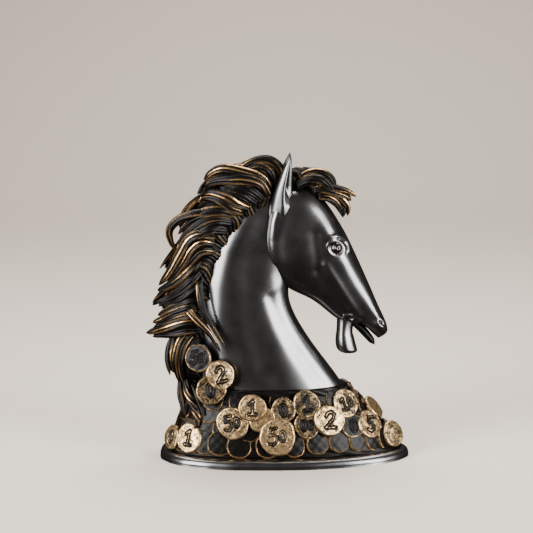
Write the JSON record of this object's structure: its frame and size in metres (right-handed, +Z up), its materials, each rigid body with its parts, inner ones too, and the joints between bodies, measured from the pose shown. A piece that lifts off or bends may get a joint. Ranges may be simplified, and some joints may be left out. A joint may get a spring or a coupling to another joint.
{
  "type": "horse head statue",
  "caption": "Cast bronze horse's head and neck rising from a heap of coins on an oval plinth, with a gilded flowing mane.",
  "frame": {"origin": "middle of the plinth's underside", "axes": "+X the way the horse faces, +Y its left side, +Z up"},
  "size_m": [0.1996, 0.098, 0.2351],
  "materials": {
    "black_bronze": "glossy near-black patina",
    "worn_bronze": "antique gold on the high spots, dark in the grooves"
  },
  "bodies": {
    "root": {"coin_01": "worn_bronze", "coin_02": "worn_bronze", "coin_03": "worn_bronze", "coin_04": "worn_bronze", "coin_05": "worn_bronze", "coin_06": "worn_bronze", "coin_07": "worn_bronze", "coin_08": "worn_bronze", "coin_09": "worn_bronze", "coin_10": "worn_bronze", "coin_11": "worn_bronze", "coin_12": "worn_bronze", "coin_13": "worn_bronze", "coin_14": "worn_bronze", "coin_15": "worn_bronze", "coin_16": "worn_bronze", "coin_17": "worn_bronze", "coin_18": "worn_bronze", "coin_19": "worn_bronze", "coin_20": "worn_bronze", "coin_21": "worn_bronze", "coin_22": "worn_bronze", "coin_23": "worn_bronze", "coin_24": "worn_bronze", "coin_25": "worn_bronze", "coin_26": "worn_bronze", "coin_27": "worn_bronze", "coin_drift": "black_bronze", "ear_left": "black_bronze", "ear_right": "black_bronze", "forelock_low": "worn_bronze", "forelock_middle": "worn_bronze", "forelock_top": "worn_bronze", "head": "black_bronze", "lower_lip": "black_bronze", "mane_1_left": "worn_bronze", "mane_1_right": "worn_bronze", "mane_2_left": "worn_bronze", "mane_2_right": "worn_bronze", "mane_3_left": "worn_bronze", "mane_3_right": "worn_bronze", "mane_4_left": "worn_bronze", "mane_4_right": "worn_bronze", "mane_5_left": "worn_bronze", "mane_5_right": "worn_bronze", "mane_6_left": "worn_bronze", "mane_6_right": "worn_bronze", "mane_7_right": "worn_bronze", "mane_8_right": "worn_bronze", "mane_crest": "worn_bronze", "mane_crown": "worn_bronze", "mane_poll_left": "worn_bronze", "mane_poll_right": "worn_bronze", "mane_sweep_right": "worn_bronze", "mane_tail_left": "worn_bronze", "mane_tail_right": "worn_bronze", "neck": "black_bronze", "plinth": "black_bronze", "tongue": "worn_bronze"}
  },
  "joints": []
}
